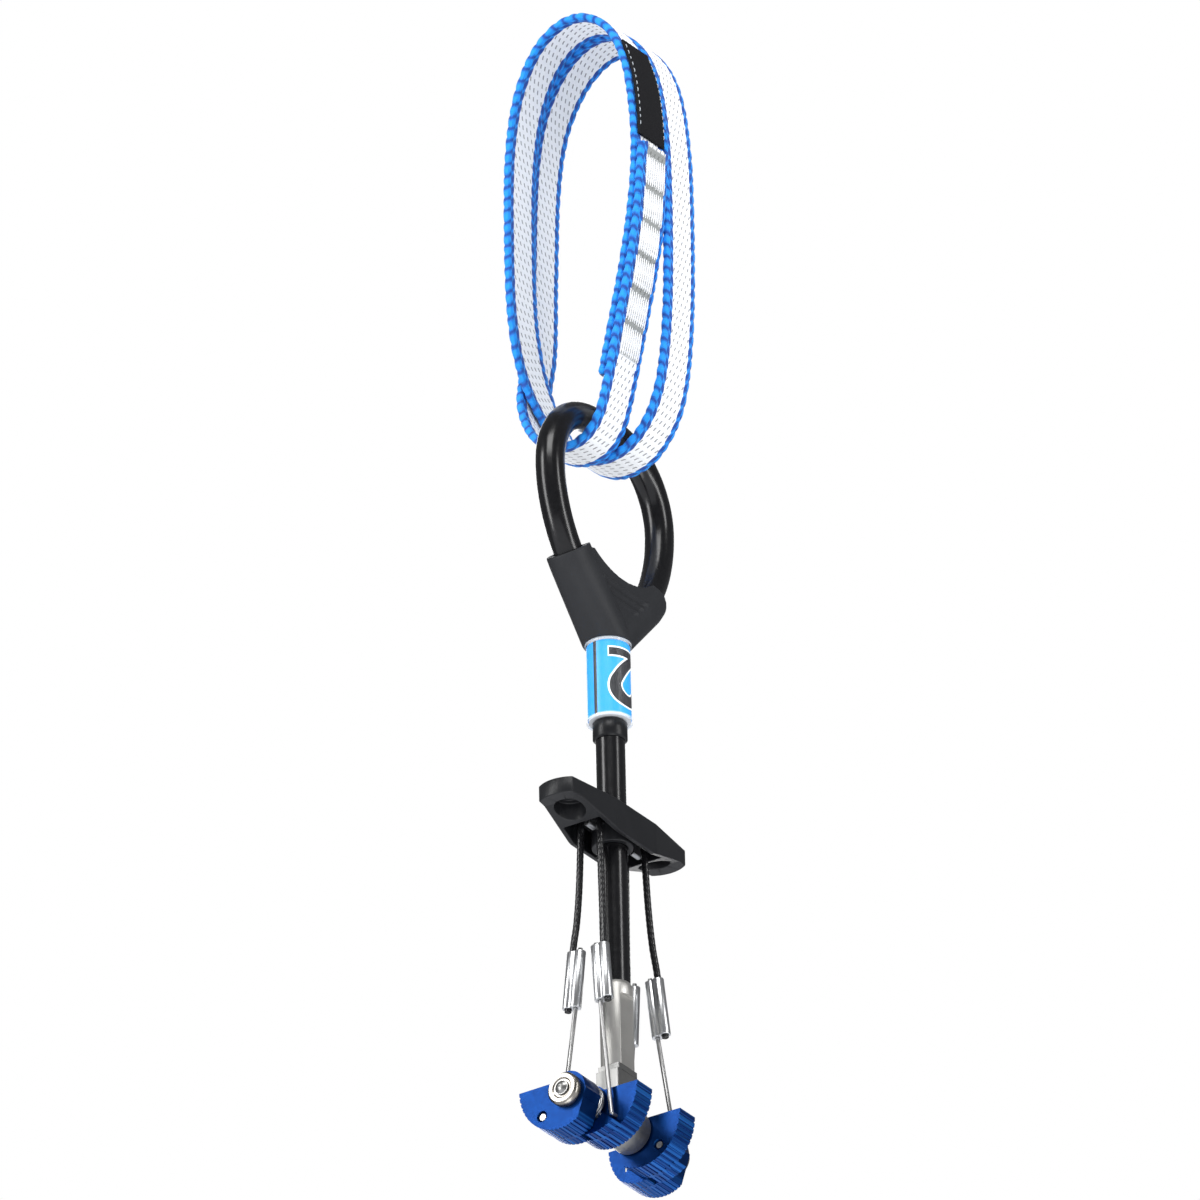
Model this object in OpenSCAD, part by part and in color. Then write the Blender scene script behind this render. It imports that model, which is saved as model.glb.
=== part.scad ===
// Spring loaded camming device hanging from its sewn sling.
// X runs along the axle, Z runs up the stem, and Y is across the thumb loop.
// The modules are written from the axle; hang_z then moves the origin up to the
// clip-in point inside the top of the sling.

/* [Cam lobes] */
// Radius of the log spiral at the tip of a lobe
tip_r = 12.9; // [12.0:0.1:13.6]
// Shrink rate of the log spiral per radian
spiral_rate = 0.24; // [0.20:0.01:0.28]
// Thickness of a lobe's plate
lobe_t = 6; // [5:0.1:6]
// Distance between the two plates of one side
lobe_gap = 3.3; // [3.1:0.1:3.6]
// Inner face of the inner lobe, from the stem's centre plane
lobe_in_x = 5.6; // [5.5:0.1:6]
// Spacing of the grooves on the camming face
groove_pitch = 1.2; // [0.9:0.1:2]
// Depth of those grooves
groove_d = 0.22; // [0.1:0.01:0.4]

/* [Axle] */
// Radius of the axle
axle_r = 2.5; // [2:0.1:3]
// Radius of the end washers
washer_r = 3.9; // [3.5:0.1:4.5]
// Thickness of the end washers
washer_t = 2.1; // [1:0.1:2.5]

/* [Stem] */
// Radius of the covered stem and of the thumb loop
tube_r = 3.3; // [3.0:0.1:3.4]
// Radius of the steel cable inside
cable_r = 1.25; // [1:0.05:1.3]
// Height of the pressed steel swage's lower end
swage_z0 = 13.5; // [13:0.1:15]
// Height of the swage's upper end
swage_z1 = 34.5; // [30:0.5:36]
// Radius of the stop collar
collar_r = 3.9; // [3.6:0.1:4.2]

/* [Thumb loop] */
// Half width of the loop at its widest
loop_half_w = 22; // [20:0.5:24]
// Height of the widest place
loop_mid_z = 155.5; // [154:0.5:157]
// Radius of the loop's upper corners
loop_corner_r = 17.5; // [16:0.5:18]
// Radius of the loop's lower sides
loop_side_r = 31.6; // [30:0.1:34]
// Angle that each lower side turns inwards
loop_side_a = 37.4; // [34:0.1:38]

/* [Trigger] */
// Half length of the trigger bar
trigger_half_l = 24; // [22:0.5:26]
// Height of its flat top
trigger_top = 76; // [74:0.5:78]
// Half width at the middle
trigger_mid_w = 6.5; // [6.3:0.1:7]
// Half width at the ends
trigger_end_w = 4.6; // [4.4:0.1:5]
// Radius of the coated trigger cables
coat_r = 0.78; // [0.7:0.01:0.8]
// Radius of the steel trigger wires
wire_r = 0.5; // [0.4:0.01:0.5]

/* [Sling] */
// Width of the webbing
web_w = 11; // [10:0.5:11]
// Thickness of the webbing
web_t = 1.6; // [1:0.1:1.6]

/* [Hidden] */
hang_z = 270.5;
fit = 0.05;
lobe_out_x = lobe_in_x + lobe_t + lobe_gap;
gap_x = lobe_in_x + lobe_t + lobe_gap / 2;
stack_x = lobe_out_x + lobe_t;
hub_r = 4.8;
boss_r = 3.3;
pad_r = 6.8;
pad_a0 = -40;
pad_a1 = -87;
wire_hole_r = 8;
wire_hole_a = -33.3;
leg_hole_r = 5.8;
leg_hole_a = -47;
spiral_a0 = 13;
spiral_a1 = -110;
coil_wire_r = 0.42;
coil_r = 4.1;
sleeve_bottom = [11.5, 4.3, 25.2];
sleeve_top = [10.9, 3.1, 39.2];
barrel_dy = 0.98;
cable_top = [9, 2.4, 72.3];
cable_bow = [9.4, 2.9, 57];
loop_top_x = loop_half_w - loop_corner_r;
horn_x = loop_half_w - loop_side_r * (1 - cos(loop_side_a));
horn_z = loop_mid_z - loop_side_r * sin(loop_side_a);
horn_r = 5.2;
boot_z0 = 118.8;
boot_r = 5.65;
label_z0 = 100.2;
label_z1 = 118.2;

// Route of the webbing's middle line: twice round, from the outer cut end to the inner one.
// Negative x is the near lane, positive x the far lane.
SLING_ROUTE = [
    [-5.6, -18.6, 235], [-5.6, -17, 219], [-5.6, -14.6, 206], [-5.6, -12, 195],
    [-5.6, -9.6, 185], [-5.6, -7.4, 176.5], [-5.6, -5.2, 170.4], [-5.6, -1.4, 166.4],
    [-5.6, 3.8, 165.4], [-5, 9.6, 168], [-3.2, 14.4, 173.6], [-1.2, 17.6, 181],
    [2, 19.1, 190], [5.2, 19.3, 202], [5.7, 18.9, 220], [5.7, 17.7, 242], [5.7, 15, 256],
    [5.7, 9.6, 265.8], [5.7, 3, 270.8], [5.7, -4, 271], [5.7, -10.5, 266.4],
    [5.7, -15, 257], [5.7, -17.2, 242], [5.7, -17.6, 222], [5.7, -17, 200],
    [5.7, -15.2, 184], [5.7, -12, 174.4], [5.7, -6.6, 168.2], [5.7, 0, 166.2],
    [5.7, 6.2, 168], [4.6, 11.4, 173], [2, 15, 180], [-1.8, 17.1, 190],
    [-5.2, 17.3, 203], [-5.6, 17.4, 222], [-5.6, 16.7, 242], [-5.6, 14.2, 256],
    [-5.6, 9.4, 265.8], [-5.6, 3, 270.8], [-5.6, -4, 271], [-5.6, -10.5, 266],
    [-5.6, -14.8, 256], [-5.6, -16.6, 242], [-5.6, -16.6, 231], [-5.6, -15.3, 219.3],
    [-5.6, -12.9, 206.4], [-5.6, -10.3, 195.4], [-5.6, -7.9, 185.5], [-5.6, -6.9, 181]
];
// The label patch follows the near lane's outer face above the cut end
PATCH_ROUTE = [[-5.6, -14.2, 262], [-5.6, -16.7, 254], [-5.6, -17.9, 245], [-5.6, -18.1, 237.5]];
patch_w = 10.4;
patch_t = 0.7;
// Heights of the bar tacks on the sewn overlap
TACK_Z = [189, 197, 205, 213, 221, 229];

// ---------- helpers ----------

// Moves a part written from the axle into the part's own frame
module hung() {
    translate([0, 0, -hang_z]) children();
}

// A round rod between two points
module rod(p, q, r) {
    d = q - p;
    along = norm(d);
    tilt = acos(d.z / along);
    turn = atan2(d.y, d.x);
    translate(p)
        rotate([0, tilt, turn])
            cylinder(h = along, r = r, $fn = 32);
}

// A ball where two rods meet, a little proud of them
module knuckle(p, r) {
    translate(p) sphere(r = r * 1.03, $fn = 32);
}

// A cylinder along X from x0 to x1
module x_rod(x0, x1, r) {
    translate([min(x0, x1), 0, 0])
        rotate([0, 90, 0])
            cylinder(h = abs(x1 - x0), r = r, $fn = 64);
}

// Extrudes a Y-Z outline along X
module x_plate(x0, x1) {
    translate([min(x0, x1), 0, 0])
        rotate([90, 0, 90])
            linear_extrude(height = abs(x1 - x0)) children();
}

function unit(v) = v / norm(v);
function polar(r, a) = [r * cos(a), r * sin(a)];

// Catmull-Rom point on the segment from p1 to p2
function spline_point(p0, p1, p2, p3, t) =
    0.5 * (2 * p1 + (p2 - p0) * t + (2 * p0 - 5 * p1 + 4 * p2 - p3) * t * t
        + (3 * p1 - p0 - 3 * p2 + p3) * t * t * t);

// A smooth line through the route's points, with steps points on each segment
function smooth(route, steps) = [
    for (i = [0 : len(route) - 2], j = [0 : steps - 1])
        spline_point(route[max(i - 1, 0)], route[i], route[i + 1],
            route[min(i + 2, len(route) - 1)], j / steps),
    route[len(route) - 1]
];

// One ring of a strap's section: width along X, thickness across the line
function strap_ring(p, along, w, t) =
    let (side = unit([1, 0, 0] - along.x * along), up = cross(along, side), c = t * 0.25)
    [for (q = [[-w / 2, -c], [-w / 2 + c, -t / 2], [w / 2 - c, -t / 2], [w / 2, -c],
               [w / 2, c], [w / 2 - c, t / 2], [-w / 2 + c, t / 2], [-w / 2, c]])
        p + q.x * side + q.y * up];

// A flat strap swept along a smooth line
module strap(line, w, t) {
    last = len(line) - 1;
    sides = 8;
    rings = [for (i = [0 : last])
        strap_ring(line[i], unit(line[min(i + 1, last)] - line[max(i - 1, 0)]), w, t)];
    points = [for (ring = rings) each ring];
    walls = [for (i = [0 : last - 1], j = [0 : sides - 1])
        let (k = (j + 1) % sides)
        [i * sides + j, (i + 1) * sides + j, (i + 1) * sides + k, i * sides + k]];
    first_end = [for (j = [0 : sides - 1]) j];
    last_end = [for (j = [sides - 1 : -1 : 0]) last * sides + j];
    polyhedron(points, concat([first_end, last_end], walls), convexity = 10);
}

// One ring of a round tube's wall, on a line that stays in the X-Z plane
function tube_ring(p, along, r, sides) =
    let (side = unit(cross([0, 1, 0], along)))
    [for (j = [0 : sides - 1])
        p + r * (cos(360 * j / sides) * side + sin(360 * j / sides) * [0, 1, 0])];

function tube_rings(line, r, sides) =
    let (last = len(line) - 1)
    [for (i = [0 : last])
        tube_ring(line[i], unit(line[min(i + 1, last)] - line[max(i - 1, 0)]), r, sides)];

// Wall faces between the rings of a tube whose points start at first
function wall_faces(first, rings, sides, outward) =
    [for (i = [0 : rings - 2], j = [0 : sides - 1])
        let (k = (j + 1) % sides, a = first + i * sides, b = a + sides)
        outward ? [a + j, a + k, b + k, b + j] : [a + j, b + j, b + k, a + k]];

// A solid round cable swept along a line
module cable(line, r, sides) {
    rings = tube_rings(line, r, sides);
    points = [for (ring = rings) each ring];
    end0 = (len(rings) - 1) * sides;
    caps = [[for (j = [sides - 1 : -1 : 0]) j], [for (j = [0 : sides - 1]) end0 + j]];
    polyhedron(points, concat(caps, wall_faces(0, len(rings), sides, true)), convexity = 10);
}

// A hollow round hose swept along a line
module hose(line, r_out, r_in, sides) {
    count = len(line);
    outer = tube_rings(line, r_out, sides);
    inner = tube_rings(line, r_in, sides);
    points = concat([for (ring = outer) each ring], [for (ring = inner) each ring]);
    first_in = count * sides;
    end_out = (count - 1) * sides;
    end_in = first_in + end_out;
    rims = [for (j = [0 : sides - 1])
        let (k = (j + 1) % sides)
        each [[j, first_in + j, first_in + k, k],
              [end_out + k, end_in + k, end_in + j, end_out + j]]];
    polyhedron(points, concat(rims, wall_faces(0, count, sides, true),
        wall_faces(first_in, count, sides, false)), convexity = 10);
}

// ---------- sling ----------

module sling_webbing() {
    color("dodgerblue") hung() strap(smooth(SLING_ROUTE, 2), web_w, web_t);
}

// Height and Y of the webbing's middle line in its outer layer
outer_layer = [for (i = [0 : 10]) let (p = smooth(SLING_ROUTE, 2)[i]) [p.z, p.y]];
function outer_y(z) = lookup(z, outer_layer);

// Bar tacks: short flat blocks of thread on the outer face, along its curve
module sling_stitching() {
    tack_half_h = 2.3;
    tack_w = 7;
    tack_t = 0.4;
    rise = web_t / 2 + tack_t / 2 + 0.1;
    color("white") hung()
        for (z = TACK_Z)
            strap([for (dz = [-tack_half_h, 0, tack_half_h]) [-5.6, outer_y(z + dz) - rise, z + dz]],
                tack_w, tack_t);
}

module sling_label_patch() {
    color("#202225") hung() strap(smooth(PATCH_ROUTE, 4), patch_w, patch_t);
}

// ---------- stem and thumb loop ----------

module both_sides() {
    children();
    mirror([1, 0, 0]) children();
}

function arc_points(centre, r, a0, a1, n) =
    [for (i = [0 : n]) centre + r * [cos(a0 + (a1 - a0) * i / n), 0, sin(a0 + (a1 - a0) * i / n)]];

// Right half of the thumb loop's middle line, from the flat top down to the horn
function loop_right() = concat(
    arc_points([loop_top_x, 0, loop_mid_z], loop_corner_r, 90, 0, 14),
    arc_points([loop_half_w - loop_side_r, 0, loop_mid_z], loop_side_r,
        -loop_side_a / 6, -loop_side_a, 5));

// Both halves joined over the top, starting at the left horn
function loop_line(right) = concat(
    [for (i = [len(right) - 1 : -1 : 0]) [-right[i].x, right[i].y, right[i].z]], right);

horn = [horn_x, 0, horn_z];
inward = [-sin(loop_side_a), 0, -cos(loop_side_a)];
tail_end = horn + 5.1 * inward;
kink = [cable_r + 0.02, 0, 120];
cable_end = [kink.x, 0, swage_z0 + 4];

module stem_cable() {
    color("silver") hung() cable(loop_line(concat(loop_right(), [tail_end, kink, cable_end])), cable_r, 12);
}

module thumb_loop_cover() {
    color("#101012") hung()
        hose(loop_line(concat(loop_right(), [tail_end - 0.1 * inward])), tube_r, cable_r + fit, 20);
}

module loop_boot() {
    crotch_r = 22;
    crotch_z = 134;
    color("#2b2c30") hung()
        difference() {
            union() {
                both_sides()
                    hull() {
                        translate([0, 0, boot_z0]) cylinder(h = 0.5, r = boot_r, $fn = 32);
                        translate(horn)
                            rotate([0, loop_side_a, 0])
                                translate([0, 0, -3]) cylinder(h = 3, r = horn_r, $fn = 32);
                    }
                rotate([90, 0, 0])
                    linear_extrude(height = 9.4, center = true)
                        polygon([[-3, boot_z0 + 0.6], [3, boot_z0 + 0.6], [horn_x - 3, horn_z],
                                 [horn_x - 5, horn_z + 3], [5 - horn_x, horn_z + 3],
                                 [3 - horn_x, horn_z]]);
            }
            translate([0, 0, crotch_z + crotch_r])
                rotate([90, 0, 0])
                    cylinder(h = 20, r = crotch_r, center = true, $fn = 128);
            both_sides() rod(tail_end, horn - 5 * inward, tube_r + fit);
            both_sides() rod(tail_end, kink, cable_r + 0.1);
            translate([0, 0, boot_z0 - 1]) cylinder(h = 2.5, r = tube_r + fit, $fn = 64);
        }
}

module ring(r_in, r_out, z0, z1) {
    translate([0, 0, z0])
        difference() {
            cylinder(h = z1 - z0, r = r_out, $fn = 96);
            translate([0, 0, -1]) cylinder(h = z1 - z0 + 2, r = r_in, $fn = 96);
        }
}

module label_core() {
    color("#e8ecef") hung() ring(tube_r + fit, 4.7, label_z0 - 0.6, label_z1 + 0.6);
}

module size_label() {
    color("#1f9be0") hung() ring(4.72, 4.88, label_z0, label_z1);
}

module label_shrink() {
    color("lightblue") hung() ring(5, 5.25, label_z0 - 0.6, label_z1 + 0.6);
}

module stem_collar() {
    color("#1b1c1f") hung()
        difference() {
            translate([0, 0, 95])
                rotate_extrude($fn = 96)
                    polygon([[0, 0], [collar_r - 0.4, 0], [collar_r, 0.4], [collar_r, 4.2],
                             [collar_r - 0.4, 4.6], [0, 4.6]]);
            translate([0, 0, 94]) cylinder(h = 7, r = tube_r + fit, $fn = 96);
        }
}

module stem_tube() {
    color("#141416") hung() ring(2 * cable_r + 0.06, tube_r, swage_z1, boot_z0 + 1);
}

// A round sleeve pressed flat on two sides over the cable's ends
module stem_swage() {
    flat_half = 2.75;
    color("#b9b7b2") hung()
        difference() {
            intersection() {
                union() {
                    translate([0, 0, swage_z0])
                        cylinder(h = swage_z1 - swage_z0 - 1, r = 3.8, $fn = 96);
                    translate([0, 0, swage_z1 - 1])
                        cylinder(h = 1, r1 = 3.8, r2 = 3.3, $fn = 96);
                }
                union() {
                    translate([-6, -flat_half, swage_z0 - 1]) cube([12, 2 * flat_half, 19]);
                    translate([0, 0, swage_z1 - 3.5]) cylinder(h = 4, r = 4, $fn = 96);
                }
            }
            both_sides()
                translate(cable_end) cylinder(h = 40, r = cable_r + 0.01, $fn = 64);
        }
}

module stem_termination() {
    color("#d6d8da") hung()
        difference() {
            union() {
                x_rod(-5.2, 5.2, 5.1);
                translate([-4.4, -2.9, 0]) cube([8.8, 5.8, swage_z0 - 1.6]);
                translate([-3.7, -2.75, 0]) cube([7.4, 5.5, swage_z0]);
            }
            x_rod(-6, 6, axle_r + fit);
        }
}

// ---------- axle ----------

module axle() {
    pin_r = 1.7;
    end_x = stack_x + washer_t + 0.2;
    color("#c2c3c5") hung() {
        x_rod(-stack_x - 0.05, stack_x + 0.05, axle_r);
        both_sides() {
            x_rod(stack_x, end_x, pin_r);
            translate([end_x - 0.9, 0, 0])
                rotate([0, 90, 0])
                    intersection() {
                        translate([0, 0, -0.6]) sphere(r = 2.15, $fn = 64);
                        cylinder(h = 3, r = pin_r, $fn = 64);
                    }
        }
    }
}

module washer(side) {
    x0 = stack_x + 0.1;
    color("#b8b5ad") hung()
        rotate([0, side * 90, 0])
            translate([0, 0, x0])
                difference() {
                    rotate_extrude($fn = 96)
                        polygon([[0, 0], [washer_r, 0], [washer_r, washer_t - 0.6],
                                 [washer_r - 0.5, washer_t - 0.1], [2.5, washer_t - 0.1],
                                 [2.2, washer_t - 0.35], [0, washer_t - 0.35]]);
                    translate([0, 0, -1]) cylinder(h = 5, r = 1.7 + fit, $fn = 96);
                }
}

module axle_washer_left() { washer(-1); }
module axle_washer_right() { washer(1); }

// ---------- cam lobes ----------

function spiral_r(a) = tip_r * exp(-spiral_rate * (spiral_a0 - a) * PI / 180);

// Camming edge from angle a0 down to a1, with shallow grooves
function cam_edge(a0, a1) =
    let (n = max(1, round((a0 - a1) * PI / 180 * 10.4 / groove_pitch)), step = (a0 - a1) / n)
    [for (i = [0 : n - 1])
        let (a = a0 - i * step)
        each [polar(spiral_r(a), a),
              polar(spiral_r(a - 0.62 * step), a - 0.62 * step),
              polar(spiral_r(a - 0.72 * step) - groove_d, a - 0.72 * step),
              polar(spiral_r(a - 0.90 * step) - groove_d, a - 0.90 * step)],
     polar(spiral_r(a1), a1)];

module lobe_outline() {
    polygon(concat(cam_edge(spiral_a0, spiral_a1), [[-5, -0.4], [-4, 2.4], [0, 3]]));
    circle(r = hub_r, $fn = 96);
}

// The stop pad fills a band of the arc, on the side that faces the partner lobe
module pad_outline() {
    polygon(concat(cam_edge(pad_a0, pad_a1), [polar(pad_r, pad_a1), polar(pad_r, (pad_a0 + pad_a1) / 2),
        polar(pad_r, pad_a0)]));
}

// A lobe with its tip towards +Y; x_plain is its plain face and x_gap its face at the gap
module lobe(x_plain, x_gap) {
    to_gap = sign(x_gap - x_plain);
    hook = polar(wire_hole_r, wire_hole_a);
    leg = polar(leg_hole_r, leg_hole_a);
    pad_mid = x_gap + to_gap * (lobe_gap - 0.15) / 2;
    difference() {
        union() {
            x_plate(x_plain, x_gap) lobe_outline();
            x_plate(x_gap - to_gap, x_gap + to_gap * (lobe_gap - 0.15)) pad_outline();
            x_rod(x_gap - to_gap, x_gap + to_gap * (lobe_gap / 2 - fit), boss_r);
        }
        x_rod(x_plain - to_gap, x_gap + 3 * to_gap, axle_r + fit);
        translate([0, hook.x, hook.y]) {
            x_rod(x_plain - to_gap, x_gap + to_gap, wire_r + fit);
            x_rod(x_plain - to_gap, x_plain + 1.2 * to_gap, 1.35);
        }
        translate([0, leg.x, leg.y]) x_rod(x_gap - 3 * to_gap, x_gap + to_gap, coil_wire_r + 0.1);
        translate([pad_mid, 0, 0])
            rotate([-75 - 90, 0, 0])
                translate([0, 0, -spiral_r(-75) - 1])
                    cylinder(h = 2.2, r = 0.35, $fn = 24);
    }
}

module placed_lobe(side, face, outer) {
    x_plain = outer ? stack_x : lobe_in_x;
    x_gap = outer ? lobe_out_x : lobe_in_x + lobe_t;
    hung()
        mirror([0, face < 0 ? 1 : 0, 0])
            lobe(side * x_plain, side * x_gap);
}

module cam_lobe_outer_left() { color("#1554b8") placed_lobe(-1, 1, true); }
module cam_lobe_inner_left() { color("#1554b8") placed_lobe(-1, -1, false); }
module cam_lobe_inner_right() { color("#1554b8") placed_lobe(1, -1, false); }
module cam_lobe_outer_right() { color("#1554b8") placed_lobe(1, 1, true); }

// Torsion spring round the bosses; each leg turns into the hole of one lobe
module torsion_spring(side) {
    pitch = 2 * coil_wire_r - 0.08;
    leg = polar(leg_hole_r, leg_hole_a);
    root = polar(coil_r, leg_hole_a + 12);
    mid_x = side * gap_x;
    color("#cfd0d2") hung() {
        for (i = [-1 : 1])
            translate([mid_x + i * pitch, 0, 0])
                rotate([0, 90, 0])
                    rotate_extrude($fn = 96)
                        translate([coil_r, 0]) circle(r = coil_wire_r, $fn = 24);
        for (face = [-1, 1]) {
            to_lobe = side * face;
            x_leg = mid_x + to_lobe * pitch;
            rod([x_leg, face * root.x, root.y], [x_leg, face * leg.x, leg.y], coil_wire_r);
            knuckle([x_leg, face * leg.x, leg.y], coil_wire_r);
            translate([0, face * leg.x, leg.y])
                x_rod(x_leg, mid_x + to_lobe * (lobe_gap / 2 + 2), coil_wire_r);
        }
    }
}

module torsion_spring_left() { torsion_spring(-1); }
module torsion_spring_right() { torsion_spring(1); }

// ---------- trigger ----------

module trigger_outline() {
    end_r = 8;
    intersection() {
        polygon([[-trigger_half_l, -trigger_end_w + 0.3], [-8, -trigger_mid_w], [8, -trigger_mid_w],
                 [trigger_half_l, -trigger_end_w + 0.3], [trigger_half_l, trigger_end_w - 0.3],
                 [8, trigger_mid_w], [-8, trigger_mid_w], [-trigger_half_l, trigger_end_w - 0.3]]);
        union() {
            for (side = [-1, 1])
                translate([side * (trigger_half_l - end_r), 0]) circle(r = end_r, $fn = 96);
            square([2 * (trigger_half_l - end_r) + 6, 20], center = true);
        }
    }
}

module trigger_bar() {
    end_t = 3.9;
    mid_t = 7.7;
    low = trigger_top - mid_t;
    roof = 2;
    pocket_x = 17;
    rib_t = 1.6;
    color("#25262a") hung()
        difference() {
            union() {
                difference() {
                    intersection() {
                        translate([0, 0, low]) linear_extrude(height = mid_t) trigger_outline();
                        rotate([90, 0, 0])
                            linear_extrude(height = 20, center = true)
                                polygon([[-25, trigger_top - end_t], [-20, trigger_top - end_t],
                                         [-7, low], [7, low], [20, trigger_top - end_t],
                                         [25, trigger_top - end_t], [25, trigger_top],
                                         [-25, trigger_top]]);
                    }
                    translate([0, 0, trigger_top - roof - 20])
                        linear_extrude(height = 20)
                            polygon([[-12.4, -4.7], [-7, -5.4], [7, -5.4], [12.4, -4.7],
                                     [12.4, 4.7], [7, 5.4], [-7, 5.4], [-12.4, 4.7]]);
                    for (side = [-1, 1]) {
                        translate([side * pocket_x, 0, trigger_top - 1.5 - 10])
                            cylinder(h = 10, r = 3.5, $fn = 96);
                        translate([side * pocket_x, 0, low - 1])
                            cylinder(h = mid_t + 2, r = 2, $fn = 96);
                    }
                }
                translate([0, 0, low]) cylinder(h = mid_t, r = 4.7, $fn = 96);
                translate([-13, -rib_t / 2, trigger_top - 3.4]) cube([26, rib_t, 2.4]);
            }
            translate([0, 0, low - 1]) cylinder(h = mid_t + 2, r = tube_r + 0.1, $fn = 96);
            for (side = [-1, 1])
                translate([side * cable_top.x - 1.6, -2, trigger_top - 4]) cube([3.2, 4, 4 - roof]);
        }
}

// The metal piece in the trigger that a pair of cables hangs from
module cable_saddle(side) {
    color("#9a9da1") hung()
        translate([side * cable_top.x, 0, trigger_top - 2.06]) {
            translate([-1.5, -0.75, -3.2]) cube([3, 1.5, 3.2]);
            translate([-1.5, 0, -3.2]) x_rod(0, 3, 0.75);
        }
}

module cable_saddle_left() { cable_saddle(-1); }
module cable_saddle_right() { cable_saddle(1); }

// Mirrors what is drawn for +X and +Y to the given side and face
module to_lobe(side, face) {
    hung()
        mirror([side < 0 ? 1 : 0, 0, 0])
            mirror([0, face < 0 ? 1 : 0, 0]) children();
}

// Places children on the line from p to q, without turning them about it
module along(p, q) {
    d = q - p;
    tilt = acos(d.z / norm(d));
    turn = atan2(d.y, d.x);
    translate(p) rotate([0, tilt, turn]) rotate([0, 0, -turn]) children();
}

// End of a barrel: the cable's is on the outside, the wire's on the inside
function barrel(end, dy) = end + [0, dy, 0];

module trigger_cable(side, face) {
    stub = 0.5 * unit(sleeve_bottom - sleeve_top);
    top = barrel(sleeve_top, barrel_dy) - stub;
    color("#17181a")
        to_lobe(side, face) {
            rod(top, cable_bow, coat_r);
            rod(cable_bow, cable_top, coat_r);
            rod(barrel(sleeve_bottom, barrel_dy) + stub, top, coat_r);
            knuckle(top, coat_r);
            knuckle(cable_bow, coat_r);
        }
}

module crimp_sleeve(side, face) {
    barrel_r = 1.3;
    length = norm(sleeve_top - sleeve_bottom);
    color("#dcdee0")
        to_lobe(side, face)
            along(sleeve_bottom, sleeve_top)
                difference() {
                    linear_extrude(height = length) {
                        for (dy = [-barrel_dy, barrel_dy])
                            translate([0, dy]) circle(r = barrel_r, $fn = 64);
                        square([2.1, 2 * barrel_dy], center = true);
                    }
                    translate([0, barrel_dy, -1])
                        cylinder(h = length + 2, r = coat_r + 0.04, $fn = 64);
                    translate([0, -barrel_dy, -1])
                        cylinder(h = length + 2, r = wire_r + 0.04, $fn = 64);
                }
}

module trigger_wire(side, face, outer) {
    hook = polar(wire_hole_r, wire_hole_a);
    stub = 0.7 * unit(sleeve_bottom - sleeve_top);
    top = barrel(sleeve_top, -barrel_dy) - stub;
    bend = barrel(sleeve_bottom, -barrel_dy) + stub;
    eye = [gap_x, hook.x, hook.y];
    head_x = outer ? stack_x - 0.35 : lobe_in_x + 0.35;
    head_in = outer ? stack_x - 1.1 : lobe_in_x + 1.1;
    color("#d9dadc")
        to_lobe(side, face) {
            rod(bend, top, wire_r);
            rod(eye, bend, wire_r);
            knuckle(bend, wire_r);
            knuckle(eye, wire_r);
            translate([0, hook.x, hook.y]) {
                x_rod(eye.x, head_in, wire_r);
                x_rod(head_in, head_x, 0.8);
            }
        }
}

module trigger_cable_outer_left() { trigger_cable(-1, 1); }
module trigger_cable_inner_left() { trigger_cable(-1, -1); }
module trigger_cable_inner_right() { trigger_cable(1, -1); }
module trigger_cable_outer_right() { trigger_cable(1, 1); }
module crimp_sleeve_outer_left() { crimp_sleeve(-1, 1); }
module crimp_sleeve_inner_left() { crimp_sleeve(-1, -1); }
module crimp_sleeve_inner_right() { crimp_sleeve(1, -1); }
module crimp_sleeve_outer_right() { crimp_sleeve(1, 1); }
module trigger_wire_outer_left() { trigger_wire(-1, 1, true); }
module trigger_wire_inner_left() { trigger_wire(-1, -1, false); }
module trigger_wire_inner_right() { trigger_wire(1, -1, false); }
module trigger_wire_outer_right() { trigger_wire(1, 1, true); }

sling_webbing();
sling_stitching();
sling_label_patch();
stem_cable();
thumb_loop_cover();
loop_boot();
label_core();
size_label();
label_shrink();
stem_collar();
stem_tube();
stem_swage();
stem_termination();
axle();
axle_washer_left();
axle_washer_right();
torsion_spring_left();
torsion_spring_right();
trigger_bar();
cable_saddle_left();
cable_saddle_right();
cam_lobe_outer_left();
cam_lobe_inner_left();
cam_lobe_inner_right();
cam_lobe_outer_right();
trigger_cable_outer_left();
trigger_cable_inner_left();
trigger_cable_inner_right();
trigger_cable_outer_right();
crimp_sleeve_outer_left();
crimp_sleeve_inner_left();
crimp_sleeve_inner_right();
crimp_sleeve_outer_right();
trigger_wire_outer_left();
trigger_wire_inner_left();
trigger_wire_inner_right();
trigger_wire_outer_right();
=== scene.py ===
"""Spring loaded camming device hanging from its sling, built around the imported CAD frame."""

import math

import bmesh
import bpy
import numpy as np
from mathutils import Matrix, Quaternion, Vector
from mathutils.bvhtree import BVHTree


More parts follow.
